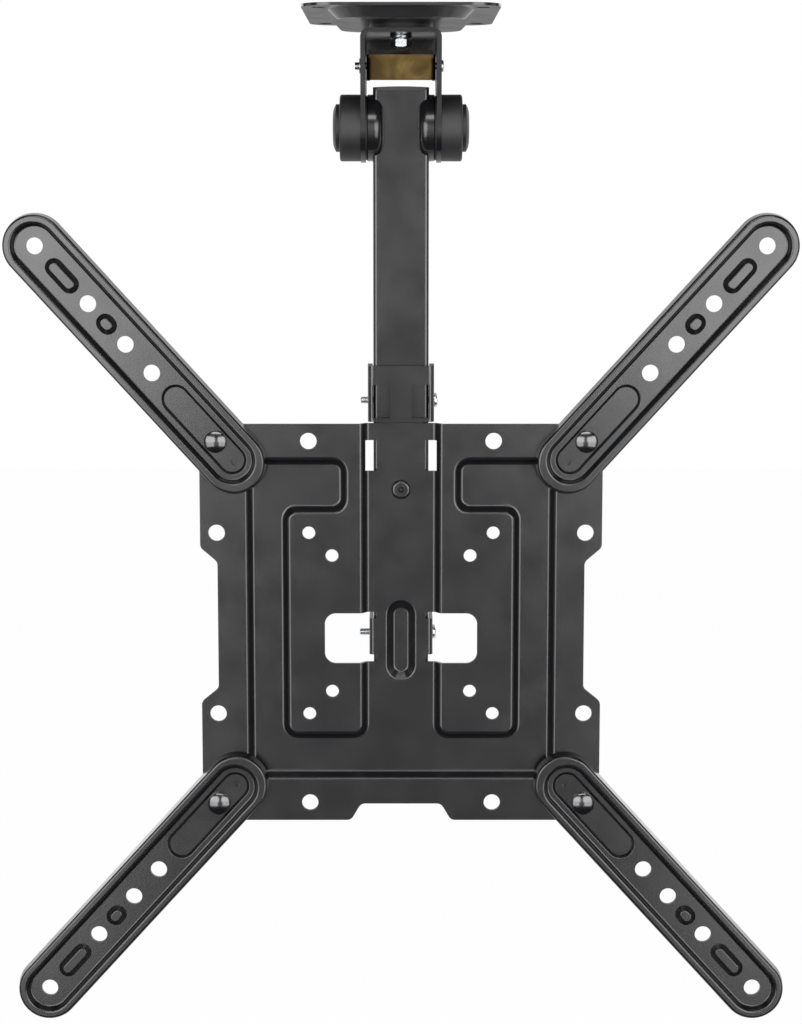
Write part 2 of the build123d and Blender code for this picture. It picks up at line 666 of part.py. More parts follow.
press_draft = wall_draft(press_run, press_depth)
press_skin = plate_sheet / cos(radians(press_draft))
bead_draft = wall_draft(bead_run, bead_depth)
bead_skin = plate_sheet / cos(radians(bead_draft))
bead_middle = (bead_top + bead_bottom) / 2
with BuildPart() as screen_plate:
    with BuildSketch(facing_back(-plate_face, -screen_drop)):
        Rectangle(3 * plate_half_width, 3 * plate_half_width)
    extrude(amount=plate_sheet)
    with BuildSketch(facing_back(-plate_face, -screen_drop)):
        add(channel.sketch)
        offset(amount=press_run / 2 + press_skin)
    extrude(amount=press_depth + plate_sheet, taper=press_draft)
    fillet(screen_plate.faces().sort_by(Axis.Y)[-1].edges(), press_edge)
    with BuildSketch(facing_back(-plate_face, -screen_drop)):
        add(channel.sketch)
        offset(amount=press_run / 2)
    extrude(amount=press_depth, taper=press_draft, mode=Mode.SUBTRACT)
    fillet(screen_plate.faces().sort_by(Axis.Y)[0].inner_wires().edges(), press_edge)
    fillet(screen_plate.faces().filter_by_position(Axis.Y, -strip_face - 0.1, -strip_face + 0.1).edges(),
           press_edge)
    with BuildSketch(facing_back(-plate_face, -screen_drop)):
        add(outline.sketch)
    extrude(amount=press_depth + plate_sheet, mode=Mode.INTERSECT)
    with BuildSketch(facing_back(-strip_face, -screen_drop)):
        with Locations((0, bead_middle)):
            SlotOverall(bead_top - bead_bottom + 2 * bead_skin, bead_width + 2 * bead_skin, rotation=90)
    extrude(amount=bead_depth + plate_sheet, taper=bead_draft)
    with BuildSketch(facing_back(-strip_face, -screen_drop)):
        with Locations((0, bead_middle)):
            SlotOverall(bead_top - bead_bottom, bead_width, rotation=90)
    extrude(amount=bead_depth, taper=bead_draft, mode=Mode.SUBTRACT)
    fillet(screen_plate.faces().filter_by_position(
        Axis.Y, -strip_face - 0.1, -strip_face + 0.1).sort_by(SortBy.AREA)[-1].inner_wires().edges(), bead_edge)
    fillet(screen_plate.faces().filter_by_position(
        Axis.Y, bead_depth - strip_face - 0.1, bead_depth - strip_face + 0.1).edges(), bead_edge)
    with BuildSketch(facing_back(-plate_face, -screen_drop)):
        for spacing in (vesa_75, vesa_100):
            with GridLocations(spacing, spacing, 2, 2):
                Circle(small_vesa_hole / 2)
        with GridLocations(vesa_200, vesa_100, 2, 2):
            Circle(large_vesa_hole / 2)
        with GridLocations(vesa_100, vesa_200, 2, 2):
            Circle(large_vesa_hole / 2)
        with GridLocations(vesa_200, vesa_200, 2, 2):
            Circle(pivot_bolt / 2 + pivot_clearance)
        with Locations((0, rivet_height)):
            Circle(rivet_diameter / 2)
        for side in (-1, 1):
            with Locations((side * (tie_slot_inner + tie_slot_outer) / 2, (tie_slot_bottom + tie_slot_top) / 2)):
                Rectangle(tie_slot_outer - tie_slot_inner, tie_slot_top - tie_slot_bottom)
            with Locations((side * (window_inner + window_outer) / 2, (window_bottom + window_top) / 2)):
                RectangleRounded(window_outer - window_inner, window_top - window_bottom, window_corner)
                Rectangle((window_outer - window_inner) / 2, window_top - window_bottom,
                          align=(Align.MAX if side == 1 else Align.MIN, Align.CENTER))
    extrude(amount=press_depth + plate_sheet, mode=Mode.SUBTRACT)
    for side in (-1, 1):
        with BuildSketch(Plane.XY.offset(tab_bottom - screen_drop)):
            with BuildLine():
                FilletPolyline(
                    (side * (window_inner - 1), -strip_face), (side * tab_outer, -strip_face),
                    (side * tab_outer, tab_rear), radius=plate_sheet + 0.4,
                )
                Line((side * tab_outer, tab_rear), (side * tab_inner, tab_rear))
                FilletPolyline(
                    (side * tab_inner, tab_rear), (side * tab_inner, -strip_back),
                    (side * (window_inner - 1), -strip_back), radius=0.4,
                )
                Line((side * (window_inner - 1), -strip_back), (side * (window_inner - 1), -strip_face))
            make_face()
        extrude(amount=tab_top - tab_bottom)
    fillet(screen_plate.edges().filter_by(Axis.X).filter_by_position(
        Axis.Y, tab_rear - 0.1, tab_rear + 0.1), tab_corner)
    with BuildSketch(along_x(0, lower_clamp_height - screen_drop, 0)):
        Circle(clamp_screw / 2 + clamp_clearance)
    extrude(amount=2 * tab_outer, mode=Mode.SUBTRACT)
    with BuildSketch(along_x(0, lower_clamp_height - screen_drop, 0)):
        Circle(clamp_screw / 2)
    extrude(amount=-2 * tab_outer, mode=Mode.SUBTRACT)
save("screen_plate", screen_plate.part)

# Upper bracket: channel round the tube, with a tongue riveted to the back of the plate's strip
with BuildPart() as upper_bracket:
    with BuildSketch(Plane.XY.offset(bracket_bottom - screen_drop)):
        with BuildLine():
            FilletPolyline(
                (bracket_outer, bracket_rear), (bracket_outer, -strip_back),
                (-bracket_outer, -strip_back), (-bracket_outer, bracket_rear), radius=bracket_sheet + 0.5,
            )
            Line((-bracket_outer, bracket_rear), (-bracket_inner, bracket_rear))
            FilletPolyline(
                (-bracket_inner, bracket_rear), (-bracket_inner, -bracket_back),
                (bracket_inner, -bracket_back), (bracket_inner, bracket_rear), radius=0.5,
            )
            Line((bracket_inner, bracket_rear), (bracket_outer, bracket_rear))
        make_face()
    extrude(amount=bracket_top - bracket_bottom)
    fillet(upper_bracket.edges().filter_by(Axis.X).group_by(Axis.Y)[-1], tab_corner)
    with BuildSketch(facing_back(-strip_back, -screen_drop)):
        for side in (-1, 1):
            with Locations((side * (bracket_window_inner + bracket_inner) / 2,
                            (bracket_window_bottom + bracket_window_top) / 2)):
                Rectangle(bracket_inner - bracket_window_inner, bracket_window_top - bracket_window_bottom)
    extrude(amount=bracket_sheet, mode=Mode.SUBTRACT)
    with BuildSketch(facing_back(-strip_back, -screen_drop)):
        with Locations((0, (tongue_bottom + bracket_bottom + 2) / 2)):
            Rectangle(2 * tongue_half_width, bracket_bottom + 2 - tongue_bottom)
        with Locations((0, rivet_height)):
            Circle(rivet_diameter / 2, mode=Mode.SUBTRACT)
    extrude(amount=bracket_sheet)
    fillet(upper_bracket.edges().filter_by(Axis.Y).group_by(Axis.Z)[0], tab_corner)
    with BuildSketch(along_x(0, upper_clamp_height - screen_drop, 0)):
        Circle(clamp_screw / 2 + clamp_clearance)
    extrude(amount=bracket_outer, mode=Mode.SUBTRACT)
    with BuildSketch(along_x(0, upper_clamp_height - screen_drop, 0)):
        Circle(clamp_screw / 2)
    extrude(amount=-bracket_outer, mode=Mode.SUBTRACT)
save("upper_bracket", upper_bracket.part)

# Rivet through the strip and the bracket's tongue
with BuildPart() as bracket_rivet:
    with BuildSketch(facing_back(-strip_face, rivet_height - screen_drop)):
        Circle(rivet_head_diameter / 2)
    extrude(amount=-rivet_head_height)
    fillet(bracket_rivet.faces().sort_by(Axis.Y)[0].edges(), rivet_head_height - 0.2)
    with BuildSketch(facing_back(-strip_face, rivet_height - screen_drop)):
        Circle(rivet_diameter / 2)
    extrude(amount=plate_sheet + bracket_sheet)
    with BuildSketch(facing_back(-strip_face - rivet_head_height, rivet_height - screen_drop)):
        Circle(rivet_dimple_diameter / 2)
    extrude(amount=rivet_dimple_depth, taper=45, mode=Mode.SUBTRACT)
save("bracket_rivet", bracket_rivet.part)

# Clamp screws from the right: through the bracket above, through the plate's tabs below
for screw_name, height, seat in (
    ("upper_clamp_screw", upper_clamp_height, bracket_outer),
    ("lower_clamp_screw", lower_clamp_height, tab_outer),
):
    with BuildPart() as clamp_screw_part:
        with BuildSketch(along_x(0, height - screen_drop, seat)):
            Circle(clamp_head_diameter / 2)
        extrude(amount=clamp_head_height)
        fillet(clamp_screw_part.faces().sort_by(Axis.X)[-1].edges(), 0.7)
        with BuildSketch(along_x(0, height - screen_drop, seat)):
            Circle(clamp_screw / 2)
        extrude(amount=-clamp_length)
        chamfer(clamp_screw_part.faces().sort_by(Axis.X)[0].edges(), 0.5)
    save(screw_name, clamp_screw_part.part)

# Extension arms: pressed stadium pans with a skirt, turning on bolts at the plate's corners
arm_front = plate_face + arm_skirt_gap + arm_skirt_height
arm_slot = arm_reach + arm_inner_end
arm_middle = (arm_reach - arm_inner_end) / 2
arm_pan_slot = arm_reach + arm_pan_inner_end
arm_pan_middle = (arm_reach - arm_pan_inner_end) / 2
arm_pan_half_width = arm_half_width - arm_skirt_run - arm_rim_width
arm_draft = wall_draft(arm_pan_run, arm_pan_depth)
arm_skin = arm_sheet / cos(radians(arm_draft))
recess_draft = wall_draft(arm_recess_run, arm_recess_depth)
recess_skin = arm_sheet / cos(radians(recess_draft))
arm_bead_skin = arm_sheet * tan(atan(arm_bead_height / arm_bead_run) / 2)
arm_beads = ((long_bead_reach, long_bead_length), (short_bead_reach, short_bead_length))


def arm_plane(corner_x, corner_z, depth):
    """Sketch plane at one corner's pivot, its first axis along the arm."""
    angle = radians(arm_rest_angle)
    return Plane(
        origin=(corner_x * vesa_200 / 2, -depth, corner_z * vesa_200 / 2 - screen_drop),
        x_dir=(corner_x * cos(angle), 0, corner_z * sin(angle)),
        z_dir=(0, 1, 0),
    )


for vertical, corner_z in (("upper", 1), ("lower", -1)):
    for horizontal, corner_x in (("left", -1), ("right", 1)):
        with BuildPart() as arm:
            with BuildSketch(arm_plane(corner_x, corner_z, arm_front - arm_skirt_height)):
                with Locations((arm_middle, 0)):
                    SlotCenterToCenter(arm_slot, 2 * arm_half_width)
            extrude(amount=-arm_skirt_height, taper=wall_draft(arm_skirt_run, arm_skirt_height))
            with BuildSketch(arm_plane(corner_x, corner_z, arm_front - arm_skirt_height)):
                with Locations((arm_middle, 0)):
                    SlotCenterToCenter(arm_slot, 2 * (arm_half_width - arm_sheet))
            extrude(amount=arm_sheet - arm_skirt_height, mode=Mode.SUBTRACT)
            with BuildSketch(arm_plane(corner_x, corner_z, arm_front)):
                with Locations((arm_pan_middle, 0)):
                    SlotCenterToCenter(arm_pan_slot, 2 * (arm_pan_half_width + arm_skin))
            extrude(amount=arm_pan_depth + arm_sheet, taper=arm_draft)
            with BuildSketch(arm_plane(corner_x, corner_z, arm_front - arm_pan_depth)):
                with Locations(((arm_recess_reach - arm_pan_inner_end) / 2, 0)):
                    SlotCenterToCenter(arm_recess_reach + arm_pan_inner_end,
                                       2 * (arm_recess_half_width + recess_skin))
            extrude(amount=arm_recess_depth + arm_sheet, taper=recess_draft)
            with BuildSketch(arm_plane(corner_x, corner_z, arm_front)):
                with Locations((arm_pan_middle, 0)):
                    SlotCenterToCenter(arm_pan_slot, 2 * arm_pan_half_width)
            extrude(amount=arm_pan_depth, taper=arm_draft, mode=Mode.SUBTRACT)
            fillet(arm.faces().sort_by(Axis.Y)[0].edges(), arm_edge)
            floor_level = arm_pan_depth - arm_front
            fillet(arm.faces().filter_by_position(Axis.Y, floor_level - 0.1, floor_level + 0.1).edges(),
                   arm_floor_edge)
            with BuildSketch(arm_plane(corner_x, corner_z, arm_front - arm_pan_depth)):
                with Locations(((arm_recess_reach - arm_pan_inner_end) / 2, 0)):
                    SlotCenterToCenter(arm_recess_reach + arm_pan_inner_end, 2 * arm_recess_half_width)
            extrude(amount=arm_recess_depth, taper=recess_draft, mode=Mode.SUBTRACT)
            fillet(arm.faces().filter_by_position(Axis.Y, floor_level - 0.1, floor_level + 0.1).sort_by(
                SortBy.AREA)[-1].inner_wires().edges(), arm_recess_edge)
            with BuildSketch(arm_plane(corner_x, corner_z, arm_front - arm_pan_depth)):
                for reach, length in arm_beads:
                    with Locations((reach, 0)):
                        SlotOverall(length, arm_bead_width)
            extrude(amount=-arm_bead_height, taper=wall_draft(arm_bead_run, arm_bead_height))
            bead_level = floor_level - arm_bead_height
            fillet(arm.faces().filter_by_position(Axis.Y, bead_level - 0.1, bead_level + 0.1).edges(),
                   arm_bead_edge)
            with BuildSketch(arm_plane(corner_x, corner_z, arm_front - arm_pan_depth - arm_sheet)):
                for reach, length in arm_beads:
                    with Locations((reach, 0)):
                        SlotOverall(length - 2 * arm_bead_skin, arm_bead_width - 2 * arm_bead_skin)
            extrude(amount=-arm_bead_height, taper=wall_draft(arm_bead_run, arm_bead_height),
                    mode=Mode.SUBTRACT)
            with BuildSketch(arm_plane(corner_x, corner_z, arm_front - arm_pan_depth)):
                Circle(pivot_bolt / 2 + pivot_clearance)
                with Locations((-arm_inner_end, 0)):
                    Circle(arm_pip_hole / 2)
                for reach in arm_hole_reaches:
                    with Locations((reach, 0)):
                        Circle(arm_hole / 2)
            extrude(amount=arm_recess_depth + arm_sheet, mode=Mode.SUBTRACT)
        save(f"arm_{vertical}_{horizontal}", arm.part)

# Pivot bolts, washers and nuts at the four corners of the screen plate
pivot_seat = arm_front - arm_pan_depth - arm_recess_depth
washer_seat = plate_face - plate_sheet
nut_seat = washer_seat - pivot_washer_thickness
with BuildPart() as pivot_bolts:
    with BuildSketch(facing_back(-pivot_seat, -screen_drop)):
        with GridLocations(vesa_200, vesa_200, 2, 2):
            Circle(pivot_head_diameter / 2)
    extrude(amount=-pivot_head_height)
    fillet(pivot_bolts.edges().group_by(Axis.Y)[0], pivot_head_height - pivot_head_rim)
    with BuildSketch(facing_back(-pivot_seat, -screen_drop)):
        with GridLocations(vesa_200, vesa_200, 2, 2):
            Circle(pivot_bolt / 2)
    extrude(amount=pivot_seat - nut_seat + pivot_nut_height + pivot_tail)
save("pivot_bolts", pivot_bolts.part)

with BuildPart() as pivot_washers:
    with BuildSketch(facing_back(-washer_seat, -screen_drop)):
        with GridLocations(vesa_200, vesa_200, 2, 2):
            Circle(pivot_washer_diameter / 2)
            Circle(pivot_bolt / 2 + pivot_clearance, mode=Mode.SUBTRACT)
    extrude(amount=pivot_washer_thickness)
save("pivot_washers", pivot_washers.part)

with BuildPart() as pivot_nuts:
    with BuildSketch(facing_back(-nut_seat, -screen_drop)):
        with GridLocations(vesa_200, vesa_200, 2, 2):
            RegularPolygon(pivot_nut_flats / 2, 6, major_radius=False)
            Circle(pivot_bolt / 2, mode=Mode.SUBTRACT)
    extrude(amount=pivot_nut_height)
save("pivot_nuts", pivot_nuts.part)
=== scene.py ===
# %% [markdown]
# # A folding ceiling mount for a television
#
# The object is a black pressed-steel mount that hangs a television from a ceiling. The CAD model already
# gives every sheet, tube and hub its true size, so this lesson does two things: it gives each piece the
# finish of the real one, and it builds the small hardware that the CAD model keeps plain, such as threads,
# screw recesses and the latch's wire spring. Everything is in metres, in the CAD model's own frame.

# %% Load the CAD model
import json
from math import atan, cos, floor, pi, radians, sin

import bmesh
import bpy
from mathutils import Matrix, Vector


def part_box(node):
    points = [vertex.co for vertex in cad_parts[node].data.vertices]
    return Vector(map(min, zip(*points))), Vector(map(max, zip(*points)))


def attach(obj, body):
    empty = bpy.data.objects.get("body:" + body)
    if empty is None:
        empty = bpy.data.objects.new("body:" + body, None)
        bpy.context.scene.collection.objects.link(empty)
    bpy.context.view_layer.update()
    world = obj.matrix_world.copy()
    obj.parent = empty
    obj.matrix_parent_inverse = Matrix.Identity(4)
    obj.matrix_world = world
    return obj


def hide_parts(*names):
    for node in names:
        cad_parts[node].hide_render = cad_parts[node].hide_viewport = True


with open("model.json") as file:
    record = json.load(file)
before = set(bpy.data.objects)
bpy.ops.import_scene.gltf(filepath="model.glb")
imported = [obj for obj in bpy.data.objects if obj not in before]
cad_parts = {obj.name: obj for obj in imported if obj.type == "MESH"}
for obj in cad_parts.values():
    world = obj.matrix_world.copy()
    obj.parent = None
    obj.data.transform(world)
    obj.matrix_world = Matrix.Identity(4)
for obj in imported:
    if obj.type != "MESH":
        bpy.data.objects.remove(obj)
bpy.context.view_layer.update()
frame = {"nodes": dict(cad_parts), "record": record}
nodes = frame["nodes"]
MM = 0.001

# %% [markdown]
# ## The camera
#
# The photograph was taken from straight in front with a long lens, a little below the ceiling and tilted
# down: the ceiling plate's underside shows, and the arms hardly converge. Lens, distance and tilt were
# fitted to known points, the standard hole squares of the screen plate. A long lens keeps proportions calm,
# which is why product photographs use one.

# %% Set up the camera
focal_pixels, frame_pixels, sensor = 2330, 1024, 36
camera_distance, camera_height, tilt_down = 1.2695, -0.0941, 7.85
camera_data = bpy.data.cameras.new("camera")
camera_data.lens = focal_pixels / frame_pixels * sensor
camera = bpy.data.objects.new("camera", camera_data)
camera.location = (0, -camera_distance, camera_height)
camera.rotation_euler = (radians(90 - tilt_down), 0, 0)
bpy.context.scene.collection.objects.link(camera)
bpy.context.scene.camera = camera
print("lens in mm:", round(camera_data.lens, 1))

# %% [markdown]
# ## Colours and nodes
#
# Colours are written as a designer writes them, in sRGB hex. Blender's shaders work in linear light, so one
# function converts them. A second function adds one shader node with its settings and its links, which
# keeps each material short enough to read like a recipe.


# %% Define the two helpers for materials
def hex_colour(code):
    """An sRGB hex colour as linear RGBA."""
    parts = [int(code[i:i + 2], 16) / 255 for i in (1, 3, 5)]
    return (*(p / 12.92 if p <= 0.04045 else ((p + 0.055) / 1.055) ** 2.4 for p in parts), 1)


def add_node(tree, kind, inputs, **settings):
    """One node of a material or world, with its settings, its values and its links."""
    made = tree.nodes.new(kind)
    for name, value in settings.items():
        setattr(made, name, value)
    for socket, value in inputs.items():
        if isinstance(value, bpy.types.NodeSocket):
            tree.links.new(value, made.inputs[socket])
        else:
            made.inputs[socket].default_value = value
    return made


print("mid grey in linear light:", [round(v, 3) for v in hex_colour("#808080")])

# %% [markdown]
# ## The studio
#
# Black steel shows its form only by what it mirrors, so the studio matters more than the paint. Two wide
# softboxes stand beside the camera at the height of the tube, with a dark gap between them: the upper arms
# lie inside their mirror image, and the tube and the middle strip lie in the gap. A dimmer pair below does
# the same for the lower arms. Each rounded fold turns through the angle that mirrors a box, which draws the
# thin bright lines along the pressed channels. A dim panel behind the camera gives flat faces their base of
# grey, a bright strip above lights what leans back, and dim panels behind, beside and overhead keep the
# other sides readable.
#
# The world is white paper to the camera and plain grey as soft light. In reflections it is white behind the
# object and nearly black in front, so walls that look sideways stay dark. Straight behind, where the
# ceiling plate's underside mirrors it at a grazing angle, the white is shaded down.

# %% Set up the world
world = bpy.data.worlds.new("studio")
bpy.context.scene.world = world
world.use_nodes = True
tree = world.node_tree
tree.nodes.clear()
direction = add_node(tree, "ShaderNodeTexCoord", {})
towards = add_node(tree, "ShaderNodeSeparateXYZ", {0: direction.outputs["Generated"]})
behind = add_node(tree, "ShaderNodeMapRange", {0: towards.outputs["Y"], 1: 0.55, 2: 0.8, 3: 0.0, 4: 1.0})
shade = add_node(tree, "ShaderNodeMapRange", {0: towards.outputs["Y"], 1: 0.97, 2: 0.995, 3: 1.0, 4: 0.1})
paper = add_node(tree, "ShaderNodeMath", {0: behind.outputs[0], 1: shade.outputs[0]}, operation="MULTIPLY")
room = add_node(tree, "ShaderNodeBackground", {"Color": hex_colour("#6a6b6d"), "Strength": 1.0})
white = add_node(tree, "ShaderNodeBackground", {"Color": (1, 1, 1, 1), "Strength": 1.0})
dark_room = add_node(tree, "ShaderNodeBackground", {"Color": hex_colour("#161617"), "Strength": 1.0})
mirrored = add_node(tree, "ShaderNodeMixShader", {
    0: paper.outputs[0], 1: dark_room.outputs[0], 2: white.outputs[0]})
ray = add_node(tree, "ShaderNodeLightPath", {})
metal_sees = add_node(tree, "ShaderNodeMath", {
    0: ray.outputs["Is Glossy Ray"], 1: ray.outputs["Is Transmission Ray"]}, operation="MAXIMUM")
indirect = add_node(tree, "ShaderNodeMixShader", {
    0: metal_sees.outputs[0], 1: room.outputs[0], 2: mirrored.outputs[0]})
seen = add_node(tree, "ShaderNodeMixShader", {
    0: ray.outputs["Is Camera Ray"], 1: indirect.outputs[0], 2: white.outputs[0]})
add_node(tree, "ShaderNodeOutputWorld", {"Surface": seen.outputs[0]})
bpy.context.scene.view_settings.view_transform = "Standard"
print("world nodes:", len(tree.nodes))


# %% Hang the softboxes
def softbox(name, place, target, width, height, radiance):
    """A rectangular lamp at a place, turned to a target. Radiance 1 is the brightness of white paper."""
    data = bpy.data.lights.new(name, "AREA")
    data.shape = "RECTANGLE"
    data.size, data.size_y, data.energy = width, height, radiance * pi * width * height
    lamp = bpy.data.objects.new(name, data)
    lamp.location = place
    lamp.rotation_euler = (Vector(target) - Vector(place)).to_track_quat("-Z", "Y").to_euler()
    bpy.context.scene.collection.objects.link(lamp)


middle = (0, 0, -0.3)
softbox("panel_front", (0, -2.45, -0.55), (0, 0, -0.4), 2.0, 1.8, 0.42)
softbox("softbox_above", (0, -1.35, 0.95), middle, 1.4, 0.4, 6.0)
softbox("panel_overhead", (0, 0.3, 1.5), middle, 1.8, 1.2, 0.9)
for side, way in (("left", -1), ("right", 1)):
    softbox(f"softbox_{side}", (way * 0.96, -1.72, 0.03), (0, 0, 0.03), 1.6, 0.92, 4.9)
    softbox(f"softbox_low_{side}", (way * 1.0, -1.68, -0.82), (0, 0, -0.82), 1.3, 0.78, 3.5)
    softbox(f"softbox_behind_{side}", (way * 1.2, 1.5, 0.2), middle, 0.9, 1.4, 1.6)
    softbox(f"panel_{side}", (way * 2.3, 0.1, -0.25), middle, 1.3, 1.5, 1.0)

# %% [markdown]
# ## The floor
#
# A mount hangs in the air, so the floor is only there to catch its shadow. It is white paper 0.4 m below the
# lowest arm, from under the object to far behind it. To the camera and in reflections most of its
# brightness is its own, which keeps it white without more light on the object. The rest is real shading,
# which keeps the shadow.

# %% Lay the floor
floor_size, floor_height, own_light = 6, -0.95, 0.985
bpy.ops.mesh.primitive_plane_add(size=floor_size, location=(0, floor_size / 2 - 0.1, floor_height))
floor_paper = bpy.context.object
floor_paper.name = "floor_paper"
paper_white = bpy.data.materials.new("floor_paper")
paper_white.use_nodes = True
tree = paper_white.node_tree
tree.nodes.clear()
shaded = add_node(tree, "ShaderNodeBsdfDiffuse", {"Color": hex_colour("#f4f4f3")})
glowing = add_node(tree, "ShaderNodeEmission", {"Color": (1, 1, 1, 1), "Strength": 1.0})
ray = add_node(tree, "ShaderNodeLightPath", {})
mirrors_or_views = add_node(tree, "ShaderNodeMath", {
    0: ray.outputs["Is Camera Ray"], 1: ray.outputs["Is Glossy Ray"]}, operation="MAXIMUM")
plain_view = add_node(tree, "ShaderNodeMath", {
    0: mirrors_or_views.outputs[0], 1: ray.outputs["Is Transmission Ray"]}, operation="MAXIMUM")
share = add_node(tree, "ShaderNodeMath", {0: plain_view.outputs[0], 1: own_light}, operation="MULTIPLY")
mixed = add_node(tree, "ShaderNodeMixShader", {
    0: share.outputs[0], 1: shaded.outputs[0], 2: glowing.outputs[0]})
add_node(tree, "ShaderNodeOutputMaterial", {"Surface": mixed.outputs[0]})
floor_paper.data.materials.append(paper_white)
print("floor at", floor_paper.location.z)

# %% [markdown]
# ## Powder coat
#
# The sheets, the tube and the brackets are steel with a baked polyester powder coat. The pigment is nearly
# black, and the greys that the eye sees on it are reflections. The powder melts into a skin about 0.08 mm
# thick that never levels fully: it keeps a fine orange peel, which spreads each reflection and makes it
# semi-gloss. The peel's real waves are about 0.3 mm, finer than a pixel here, so they are drawn at 0.9 mm.
# A slower change in roughness gives the slightly cloudy look of a sprayed part.


# %% Make the powder coat
def surface(name):
    """A new empty node material, its tree, and the object's own coordinates in metres."""
    made = bpy.data.materials.new(name)
    made.use_nodes = True
    made.node_tree.nodes.clear()
    place = add_node(made.node_tree, "ShaderNodeTexCoord", {})
    return made, made.node_tree, place.outputs["Object"]


powder_coat, tree, place = surface("powder_coated_steel")
clouds = add_node(tree, "ShaderNodeTexNoise", {"Vector": place, "Scale": 1 / (18 * MM), "Detail": 3})
peel = add_node(tree, "ShaderNodeTexNoise", {
    "Vector": place, "Scale": 1 / (0.9 * MM), "Detail": 2, "Roughness": 0.45})
roughness = add_node(tree, "ShaderNodeMapRange", {0: clouds.outputs[0], 1: 0.3, 2: 0.7, 3: 0.18, 4: 0.24})
tint = add_node(tree, "ShaderNodeMix", {
    0: clouds.outputs[0], 6: hex_colour("#101012"), 7: hex_colour("#151517")}, data_type="RGBA")
bump = add_node(tree, "ShaderNodeBump", {"Height": peel.outputs[0], "Strength": 0.35, "Distance": 0.05 * MM})
shader = add_node(tree, "ShaderNodeBsdfPrincipled", {
    "Base Color": tint.outputs[2], "Roughness": roughness.outputs[0], "IOR": 1.6, "Normal": bump.outputs[0]})
add_node(tree, "ShaderNodeOutputMaterial", {"Surface": shader.outputs[0]})
print("orange peel drawn at 0.9 mm, clouds at 18 mm")

# %% [markdown]
# ## Moulded plastic
#
# The hinge housings, caps, tube plugs and washers are black nylon, moulded in a spark-eroded steel mould.
# The mould leaves a fine even grain of about 0.1 mm, drawn here at 0.5 mm so that it shows, and the grain
# makes the plastic duller and more even than the powder coat beside it.

# %% Make the moulded nylon
moulded_nylon, tree, place = surface("moulded_black_nylon")
grain = add_node(tree, "ShaderNodeTexNoise", {"Vector": place, "Scale": 1 / (0.5 * MM), "Detail": 1})
flow = add_node(tree, "ShaderNodeTexNoise", {"Vector": place, "Scale": 1 / (9 * MM), "Detail": 2})
roughness = add_node(tree, "ShaderNodeMapRange", {0: flow.outputs[0], 1: 0.3, 2: 0.7, 3: 0.5, 4: 0.58})
tint = add_node(tree, "ShaderNodeMix", {
    0: flow.outputs[0], 6: hex_colour("#141416"), 7: hex_colour("#19191b")}, data_type="RGBA")
bump = add_node(tree, "ShaderNodeBump", {"Height": grain.outputs[0], "Strength": 0.3, "Distance": 0.03 * MM})
shader = add_node(tree, "ShaderNodeBsdfPrincipled", {
    "Base Color": tint.outputs[2], "Roughness": roughness.outputs[0], "IOR": 1.53,
    "Normal": bump.outputs[0]})
add_node(tree, "ShaderNodeOutputMaterial", {"Surface": shader.outputs[0]})
print("mould grain drawn at 0.5 mm")

# %% [markdown]
# ## Zinc plate
#
# Screws, pin, nuts and washers are steel with bright zinc, plated in a tumbling barrel. The zinc is a cool
# pale metal with a soft sheen, and the tumbling leaves small scuffs under 1 mm. The latch has the same zinc
# with a yellow chromate skin, which looks like dull gold: the skin is thin and uneven, so its colour drifts
# from brass yellow to brown and olive within a few millimetres. Its hex values are darker than brass,
# matched to the photograph, where the latch mirrors a dim part of the studio. The springs are bare steel,
# drawn through a die and oiled.

# %% Make the bright zinc
bright_zinc, tree, place = surface("bright_zinc_plate")
scuffs = add_node(tree, "ShaderNodeTexNoise", {"Vector": place, "Scale": 1 / (0.8 * MM), "Detail": 3})
roughness = add_node(tree, "ShaderNodeMapRange", {0: scuffs.outputs[0], 1: 0.3, 2: 0.7, 3: 0.22, 4: 0.36})
tint = add_node(tree, "ShaderNodeMix", {
    0: scuffs.outputs[0], 6: hex_colour("#b9bcc0"), 7: hex_colour("#d7d9dc")}, data_type="RGBA")
bump = add_node(tree, "ShaderNodeBump", {
    "Height": scuffs.outputs[0], "Strength": 0.25, "Distance": 0.02 * MM})
shader = add_node(tree, "ShaderNodeBsdfPrincipled", {
    "Base Color": tint.outputs[2], "Metallic": 1.0, "Roughness": roughness.outputs[0],
    "Normal": bump.outputs[0]})
add_node(tree, "ShaderNodeOutputMaterial", {"Surface": shader.outputs[0]})
print("zinc scuffs drawn at 0.8 mm")

# %% Make the yellow chromated zinc
yellow_zinc, tree, place = surface("yellow_chromated_zinc")
drift = add_node(tree, "ShaderNodeTexNoise", {
    "Vector": place, "Scale": 1 / (14 * MM), "Detail": 3, "Distortion": 0.6})
fine = add_node(tree, "ShaderNodeTexNoise", {"Vector": place, "Scale": 1 / (1.2 * MM), "Detail": 2})
tints = add_node(tree, "ShaderNodeValToRGB", {0: drift.outputs[0]})
brown, brass = tints.color_ramp.elements
# Painted shade: these three chromate colours are kept darker than the metal's own, for the dim part of the
# studio that the latch mirrors.
brown.position, brown.color = 0.36, hex_colour("#3a2f1d")
brass.position, brass.color = 0.64, hex_colour("#5e5032")
olive = tints.color_ramp.elements.new(0.5)
olive.color = hex_colour("#4b3d23")
roughness = add_node(tree, "ShaderNodeMapRange", {0: fine.outputs[0], 1: 0.3, 2: 0.7, 3: 0.34, 4: 0.46})
shader = add_node(tree, "ShaderNodeBsdfPrincipled", {
    "Base Color": tints.outputs[0], "Metallic": 1.0, "Roughness": roughness.outputs[0]})
add_node(tree, "ShaderNodeOutputMaterial", {"Surface": shader.outputs[0]})
print("chromate drift drawn at 14 mm")

